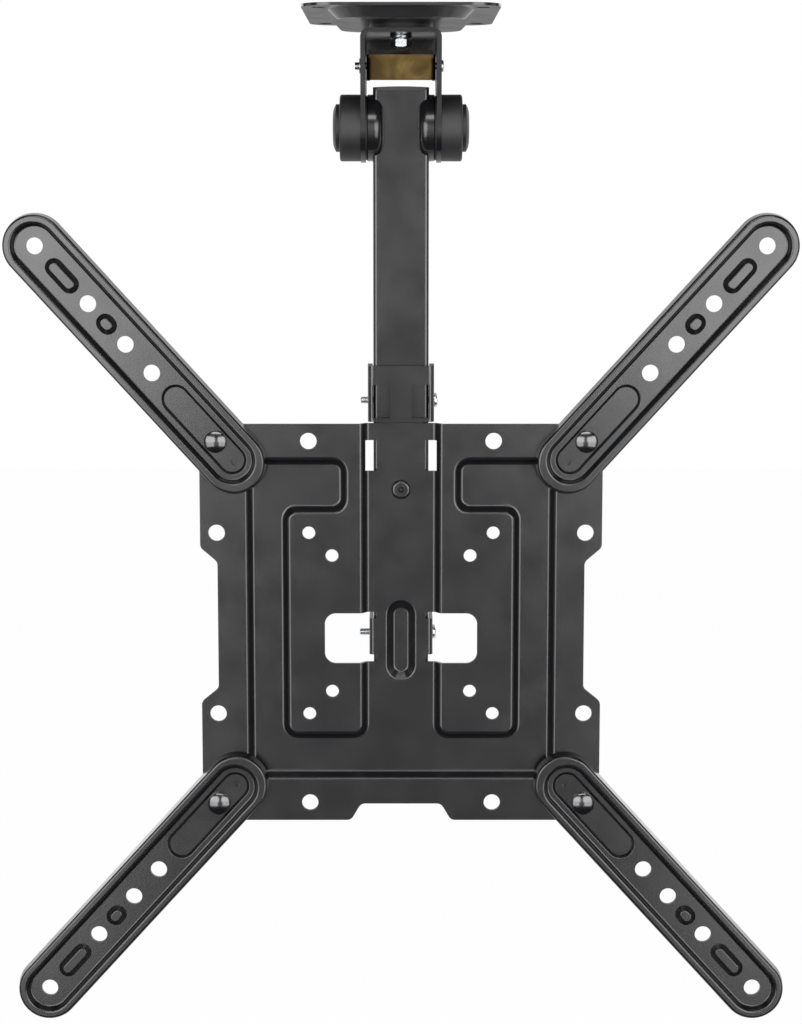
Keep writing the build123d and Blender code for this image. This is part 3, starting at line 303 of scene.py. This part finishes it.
# %% Make the oiled spring steel
spring_steel, tree, place = surface("oiled_spring_steel")
drawn = add_node(tree, "ShaderNodeTexNoise", {"Vector": place, "Scale": 1 / (1.0 * MM), "Detail": 2})
roughness = add_node(tree, "ShaderNodeMapRange", {0: drawn.outputs[0], 1: 0.3, 2: 0.7, 3: 0.26, 4: 0.4})
tint = add_node(tree, "ShaderNodeMix", {
    0: drawn.outputs[0], 6: hex_colour("#7d7e80"), 7: hex_colour("#97989a")}, data_type="RGBA")
shader = add_node(tree, "ShaderNodeBsdfPrincipled", {
    "Base Color": tint.outputs[2], "Metallic": 1.0, "Roughness": roughness.outputs[0]})
add_node(tree, "ShaderNodeOutputMaterial", {"Surface": shader.outputs[0]})
print("materials so far:", [m.name for m in bpy.data.materials])

# %% [markdown]
# ## Dressing the CAD pieces
#
# The record says which finish each CAD node has. Walking through it dresses every node at once, and a node
# that a later cell replaces with a better piece simply stays hidden.

# %% Dress every CAD node from its slot
finishes = {
    "black_powder_coat": powder_coat,
    "black_plastic": moulded_nylon,
    "bright_zinc": bright_zinc,
    "yellow_zinc": yellow_zinc,
    "spring_steel": spring_steel,
}
for entry in frame["record"]["subparts"]:
    piece = nodes[entry["node"]]
    piece.data.materials.clear()
    piece.data.materials.append(finishes[entry["material_slot"]])

# %% [markdown]
# ## Small hardware
#
# The CAD model keeps screws, nuts and the latch's spring plain, because a thread or a wire leg only slows a
# physics model down. Here they are built as they are made: a thread is rolled as one long spiral, a nut is
# cut from hexagon bar and turned to a chamfer, a lock washer is coiled from square wire and split, and a
# spring is wound from round wire with its two legs left straight. Each is a mesh of rings, because each of
# them is a section carried round or along an axis.


# %% Skin a row of rings
def ring_skin(rings, closed=False):
    """A new bmesh with faces between neighbouring rings. Closed joins the last ring to the first, and
    otherwise both ends get a flat face."""
    made = bmesh.new()
    rows = [[made.verts.new(point) for point in ring] for ring in rings]
    pairs = list(zip(rows, rows[1:])) + ([(rows[-1], rows[0])] if closed else [])
    for lower, upper in pairs:
        for i, corner in enumerate(lower):
            j = (i + 1) % len(lower)
            made.faces.new((corner, lower[j], upper[j], upper[i]))
    if not closed:
        made.faces.new(rows[0][::-1])
        made.faces.new(rows[-1])
    return made


def round_ring(radius, height, sides=48):
    """A flat circle of points about the Z axis."""
    angles = [2 * pi * i / sides for i in range(sides)]
    return [(radius * cos(angle), radius * sin(angle), height) for angle in angles]


test_drum = ring_skin([round_ring(1, 0), round_ring(1, 1)])
print("a skinned test drum has", len(test_drum.faces), "faces")
test_drum.free()


# %% Join shells into one piece
def collect(shells):
    """One bmesh from several shells, each with the matrix that puts it in its place."""
    made = bmesh.new()
    for shell, placing in shells:
        shell.transform(placing)
        carrier = bpy.data.meshes.new("shell")
        shell.to_mesh(carrier)
        shell.free()
        made.from_mesh(carrier)
        bpy.data.meshes.remove(carrier)
    return made


def fit_piece(name, made, material, body, stands_for):
    """An object from a bmesh: smooth with sharp folds kept, dressed, riding, in its CAD node's place."""
    bmesh.ops.recalc_face_normals(made, faces=made.faces)
    for face in made.faces:
        face.smooth = True
    for edge in made.edges:
        edge.smooth = len(edge.link_faces) == 2 and edge.calc_face_angle(pi) < radians(25)
    mesh = bpy.data.meshes.new(name)
    made.to_mesh(mesh)
    made.free()
    mesh.materials.append(material)
    piece = bpy.data.objects.new(name, mesh)
    bpy.context.scene.collection.objects.link(piece)
    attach(piece, body)
    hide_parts(stands_for)
    print(name, len(mesh.polygons), "faces")


# %% [markdown]
# ## Threads
#
# A rolled thread is one ridge that climbs a pitch per turn. If the rings of the mesh were flat, each would
# cross the ridge and leave steps. So each ring climbs with the thread, its end meets the ring one pitch
# higher, and both ends are then cut square, as a shear cuts a real screw.


# %% Roll a thread
def threaded_rod(diameter, pitch, low, high, sides=28, tip=0.4 * MM):
    """A threaded rod along Z from low to high, with a small lead at its low end. The thread is 0.54 pitches
    deep, the height of the basic ISO profile, and the ridge gives its shape at each step up one pitch."""
    ridge = (0, 0, 0.5, 1, 1, 1, 0.5, 0)
    depth, steps = 0.54 * pitch, len(ridge)
    first = floor(low / pitch) - 2
    count = (floor(high / pitch) + 2 - first) * steps
    made = bmesh.new()
    rows = []
    for k in range(count + 1):
        heights = [(first + k / steps + i / sides) * pitch for i in range(sides)]
        cut_radius = diameter / 2 - depth * (1 - ridge[k % steps])
        radii = [min(cut_radius, diameter / 2 - max(0, low + tip - height)) for height in heights]
        angles = [2 * pi * i / sides for i in range(sides)]
        rows.append([made.verts.new((radius * cos(angle), radius * sin(angle), height))
                     for radius, angle, height in zip(radii, angles, heights)])
    for k in range(count):
        for i in range(sides - 1):
            made.faces.new((rows[k][i], rows[k][i + 1], rows[k + 1][i + 1], rows[k + 1][i]))
        if k + 1 + steps <= count:
            made.faces.new((rows[k][-1], rows[k + steps][0], rows[k + steps + 1][0], rows[k + 1][-1]))
    for level, way in ((low, -1), (high, 1)):
        bmesh.ops.bisect_plane(made, geom=made.verts[:] + made.edges[:] + made.faces[:], dist=1e-7,
                               plane_co=(0, 0, level), plane_no=(0, 0, way), clear_outer=True)
        rim = [edge for edge in made.edges
               if edge.is_boundary and all(abs(v.co.z - level) < 1e-6 for v in edge.verts)]
        bmesh.ops.holes_fill(made, edges=rim, sides=0)
    return made


test_rod = threaded_rod(6 * MM, 1 * MM, 0, 4 * MM)
print("open edges of a test rod:", sum(e.is_boundary for e in test_rod.edges))
test_rod.free()

# %% [markdown]
# ## Clamp screws
#
# Two pan-head machine screws, M4 with a pitch of 0.7 mm, pinch the bracket and the plate's tabs onto the
# tube. The head is cold-formed with a cross recess, which a punch leaves with sloping walls. A boolean is
# the plain way to cut it: two tapered bars, taken out one after the other, because they cross each other.


# %% Form a cross-recess pan head
def tapered_bar(length, width, depth, top):
    """A bar along X that narrows downward, for cutting one slot of the recess."""
    corners = [(sx * length / 2, sy * width / 2) for sx, sy in ((1, 1), (-1, 1), (-1, -1), (1, -1))]
    levels = ((0.45, top - depth), (1.0, top), (1.15, top + 0.5 * MM))
    return ring_skin([[(x * scale, y * scale, z) for x, y in corners] for scale, z in levels])


def as_object(made):
    """A loose object from a bmesh, for a modifier to work on."""
    mesh = bpy.data.meshes.new("tool")
    made.to_mesh(mesh)
    made.free()
    tool = bpy.data.objects.new("tool", mesh)
    bpy.context.scene.collection.objects.link(tool)
    return tool


def pan_head(diameter, height):
    """A pan head on the plane Z = 0 with a cross recess in its top. The profile is in shares of the head's
    radius and height."""
    profile = ((0.5, 0), (0.93, 0), (1.0, 0.12), (1.0, 0.4), (0.94, 0.68), (0.82, 0.86), (0.6, 0.97),
               (0.3, 1.0))
    head = as_object(ring_skin([round_ring(r * diameter / 2, z * height) for r, z in profile]))
    slot_length, slot_width, slot_depth = 0.56 * diameter, 0.13 * diameter, 0.75 * height
    bars = [as_object(tapered_bar(slot_length, slot_width, slot_depth, height)) for _ in range(2)]
    bars[1].data.transform(Matrix.Rotation(pi / 2, 4, "Z"))
    for bar in bars:
        cut = head.modifiers.new("recess", "BOOLEAN")
        cut.object, cut.operation, cut.solver = bar, "DIFFERENCE", "EXACT"
    bpy.context.view_layer.update()
    formed = head.evaluated_get(bpy.context.evaluated_depsgraph_get())
    made = bmesh.new()
    made.from_mesh(formed.data)
    for tool in (head, *bars):
        bpy.data.objects.remove(tool)
    return made


# %% Fit the two clamp screws
clamp_diameter, clamp_pitch, cad_head_height = 4 * MM, 0.7 * MM, 1.6 * MM
pan_diameter, pan_height, thread_overlap = 7.8 * MM, 2.1 * MM, 0.2 * MM
to_right = Matrix.Rotation(pi / 2, 4, "Y")
for node in ("upper_clamp_screw", "lower_clamp_screw"):
    low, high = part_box(node)
    seat = high.x - cad_head_height
    placing = Matrix.Translation((seat, (low.y + high.y) / 2, (low.z + high.z) / 2)) @ to_right
    screw = collect([
        (pan_head(pan_diameter, pan_height), placing),
        (threaded_rod(clamp_diameter, clamp_pitch, low.x - seat, thread_overlap, sides=20), placing),
    ])
    fit_piece(node + "_threaded", screw, bright_zinc, "drop_arm", node)

# %% [markdown]
# ## Nuts, lock washer and bolts
#
# A nut starts as hexagon bar and is turned to a cone at both ends. Where the cone meets the six flats it
# leaves the curved edges that make a nut look like a nut. So each ring of the nut takes the hexagon's own
# radius at every angle, and the cone decides how high that ring stands there. The lock washer is square
# wire coiled once, with its two cut ends a little apart and one above the other.


# %% Turn a nut
def nut(flats, bore, height, sides=72):
    """A nut from Z = 0 to its height, with cones that fall 0.58 in 1, or 30 degrees."""
    cone, cone_slope, countersink = 0.475 * flats, 0.58, 0.4 * MM
    angles = [2 * pi * i / sides for i in range(sides)]
    reach = [flats / 2 / cos(angle % (pi / 3) - pi / 6) for angle in angles]
    low_rim = [(r * cos(angle), r * sin(angle), max(0.0, (r - cone) * cone_slope))
               for r, angle in zip(reach, angles)]
    high_rim = [(x, y, height - z) for x, y, z in low_rim]
    low_end = [round_ring(bore / 2, countersink, sides), round_ring(bore / 2 + countersink, 0, sides),
               round_ring(cone, 0, sides), low_rim]
    high_end = [high_rim, round_ring(cone, height, sides), round_ring(bore / 2 + countersink, height, sides),
                round_ring(bore / 2, height - countersink, sides)]
    return ring_skin(low_end + high_end, closed=True)


m6_diameter, m6_pitch, m6_flats, m6_nut_bore = 6 * MM, 1 * MM, 10 * MM, 5.4 * MM
nut_low, nut_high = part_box("swivel_nut")
swivel_nut = nut(m6_flats, m6_nut_bore, nut_high.z - nut_low.z)
fit_piece("swivel_nut_chamfered", collect([(swivel_nut, Matrix.Translation((0, 0, nut_low.z)))]),
          bright_zinc, "ceiling", "swivel_nut")

# %% Coil and split the lock washer
washer_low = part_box("swivel_lock_washer")[0]
section = [(3.1, 0.2), (3.3, 0), (5.7, 0), (5.9, 0.2), (5.9, 1.5), (5.7, 1.7), (3.3, 1.7), (3.1, 1.5)]
wire_height, end_rise, end_slant = 1.7, 0.3, radians(9)
gap, stations = radians(5), 60
washer_rings = []
for i in range(stations + 1):
    turn = i / stations
    ring = []
    for radius, height in section:
        slant = end_slant * (height / wire_height - 0.5)
        angle = -pi / 2 + gap + slant + turn * (2 * pi - 2 * gap)
        ring.append((radius * MM * cos(angle), radius * MM * sin(angle),
                     washer_low.z + (height + end_rise * turn) * MM))
    washer_rings.append(ring)
fit_piece("swivel_lock_washer_split", ring_skin(washer_rings), spring_steel, "ceiling",
          "swivel_lock_washer")

# %% Fit the swivel bolt
bolt_low, bolt_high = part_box("swivel_bolt")
swivel_head_height = 3.4 * MM
head_under = bolt_high.z - swivel_head_height
head_profile = ((3, 0), (7.4, 0), (8, 0.5), (8, 1.5), (7.6, 2.3), (6.6, 2.9), (4.8, 3.3), (3.2, 3.4),
                (2.6, 2.9), (1, 2.6))
swivel_head = ring_skin([round_ring(r * MM, z * MM) for r, z in head_profile])
swivel_thread = threaded_rod(m6_diameter, m6_pitch, bolt_low.z, head_under + thread_overlap)
fit_piece("swivel_bolt_threaded", collect([
    (swivel_head, Matrix.Translation((0, 0, head_under))),
    (swivel_thread, Matrix.Identity(4)),
]), bright_zinc, "ceiling", "swivel_bolt")

# %% [markdown]
# ## Arm pivots
#
# Each arm turns on a low mushroom-headed bolt of blackened steel under a clear lacquer, which is glossier
# than the powder coat round it. The head is smooth, without a recess, and its flat dome mirrors both
# softboxes as two bright lobes with the dark gap between them. Behind the plate the bolt ends in a nut,
# with a turn and a half of bare thread standing out.

# %% Make the bolts' lacquer
black_lacquer, tree, place = surface("black_lacquered_bolt_steel")
dust = add_node(tree, "ShaderNodeTexNoise", {"Vector": place, "Scale": 1 / (2.5 * MM), "Detail": 2})
roughness = add_node(tree, "ShaderNodeMapRange", {0: dust.outputs[0], 1: 0.3, 2: 0.7, 3: 0.16, 4: 0.22})
tint = add_node(tree, "ShaderNodeMix", {
    0: dust.outputs[0], 6: hex_colour("#0e0e10"), 7: hex_colour("#141416")}, data_type="RGBA")
shader = add_node(tree, "ShaderNodeBsdfPrincipled", {
    "Base Color": tint.outputs[2], "Roughness": roughness.outputs[0], "IOR": 1.6,
    "Coat Weight": 1.0, "Coat Roughness": 0.14, "Coat IOR": 1.55})
add_node(tree, "ShaderNodeOutputMaterial", {"Surface": shader.outputs[0]})
print("lacquer specks drawn at 2.5 mm")

# %% Fit the four pivot bolts and their nuts
bolts_low, bolts_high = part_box("pivot_bolts")
nuts_low, nuts_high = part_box("pivot_nuts")
pivot_head_radius, pivot_head_height = 6 * MM, 3.4 * MM
spread = (bolts_high.x - bolts_low.x) / 2 - pivot_head_radius
centre_height = (bolts_low.z + bolts_high.z) / 2
corners = [(sx * spread, centre_height + sz * spread) for sx in (-1, 1) for sz in (-1, 1)]
head_seat = bolts_low.y + pivot_head_height
dome_profile = ((3, 0), (5.9, 0), (6, 0.15), (6, 1.72), (5.9, 1.92), (5.6, 2.12), (5, 2.38), (4.3, 2.65),
                (3.5, 2.91), (2.7, 3.11), (1.9, 3.26), (1.1, 3.35), (0.4, 3.39))
to_front, to_back = Matrix.Rotation(pi / 2, 4, "X"), Matrix.Rotation(-pi / 2, 4, "X")
heads, tails = [], []
for x, z in corners:
    placing = Matrix.Translation((x, head_seat, z)) @ to_front
    heads.append((ring_skin([round_ring(r * MM, h * MM) for r, h in dome_profile]), placing))
    heads.append((threaded_rod(m6_diameter, m6_pitch, head_seat - bolts_high.y, thread_overlap), placing))
    tails.append((nut(m6_flats, m6_nut_bore, nuts_high.y - nuts_low.y),
                  Matrix.Translation((x, nuts_low.y, z)) @ to_back))
fit_piece("pivot_bolts_domed", collect(heads), black_lacquer, "drop_arm", "pivot_bolts")
fit_piece("pivot_nuts_chamfered", collect(tails), bright_zinc, "drop_arm", "pivot_nuts")

# %% [markdown]
# ## Latch spring and clip
#
# The spring that closes the latch is wound round its pin, four turns of 1.2 mm wire. One leg presses on the
# back of the latch, and the other runs back, turns up and stands against the underside of the yoke. The
# wire follows one path of points, and each ring of the wire is carried from the last one without twisting.
# The pin is held by a stamped E-clip: a flat ring, open at one side, with three short teeth that grip the
# pin's groove.


# %% Wind the latch spring
def wire(path, diameter, sides=12):
    """Round wire along a path: each ring's frame is turned on from the last one."""
    path = [Vector(point) for point in path]
    aside, rings = Vector((1, 0, 0)), []
    for i, point in enumerate(path):
        ahead = (path[min(i + 1, len(path) - 1)] - path[max(i - 1, 0)]).normalized()
        aside = (aside - ahead * aside.dot(ahead)).normalized()
        across = ahead.cross(aside)
        angles = [2 * pi * j / sides for j in range(sides)]
        rings.append([point + (aside * cos(a) + across * sin(a)) * diameter / 2 for a in angles])
    return ring_skin(rings)


pin_low, pin_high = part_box("latch_pin")
pin_height = (pin_low.z + pin_high.z) / 2
wire_diameter, coil_radius, turns, coil_half, coil_steps = 1.2 * MM, 3.2 * MM, 4, 3.2 * MM, 32
start, end = radians(-80), radians(-75) + turns * 2 * pi
coil = []
for i in range(turns * coil_steps + 1):
    share = i / (turns * coil_steps)
    angle = start + share * (end - start)
    coil.append(Vector((coil_half * (2 * share - 1), coil_radius * cos(angle),
                        pin_height + coil_radius * sin(angle))))
front_leg = [coil[0] + Vector((0, sin(start), -cos(start))) * step * MM for step in (7.8, 4, 0.8)]
rear_way = Vector((0, -sin(end), cos(end)))
rear_leg = [coil[-1] + rear_way * step * MM for step in (0.8, 6, 12)]
bend_radius, bend_steps, lean = 2.5 * MM, 8, atan(rear_way.z / rear_way.y)
bend_centre = rear_leg[-1] + Vector((0, -sin(lean), cos(lean))) * bend_radius
for i in range(1, bend_steps + 1):
    angle = lean + (pi / 2 - lean) * i / bend_steps
    rear_leg.append(bend_centre + Vector((0, sin(angle), -cos(angle))) * bend_radius)
web_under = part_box("swivel_lock_washer")[1].z
rear_leg.append(Vector((rear_leg[-1].x, rear_leg[-1].y, web_under - 0.1 * MM)))
latch_spring = wire(front_leg + coil + rear_leg, wire_diameter)
fit_piece("latch_spring_wound", latch_spring, spring_steel, "yoke", "latch_spring")

# %% Stamp the clip
clip_low, clip_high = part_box("latch_clip")
mouth, side_tooth, half_tooth, stations = radians(34), radians(46), radians(13), 72
tooth_radius, ring_radius, outer = 2.05 * MM, 3.0 * MM, (clip_high.z - clip_low.z) / 2
clip_rings = []
for i in range(stations + 1):
    angle = mouth + (2 * pi - 2 * mouth) * i / stations
    near_tooth = min(abs(angle - tooth) for tooth in (side_tooth, pi, 2 * pi - side_tooth))
    inner = tooth_radius if near_tooth < half_tooth else ring_radius
    clip_rings.append([(x, r * cos(angle), pin_height + r * sin(angle))
                       for r, x in ((inner, clip_low.x), (outer, clip_low.x), (outer, clip_high.x),
                                    (inner, clip_high.x))])
fit_piece("latch_clip_stamped", ring_skin(clip_rings), bright_zinc, "yoke", "latch_clip")
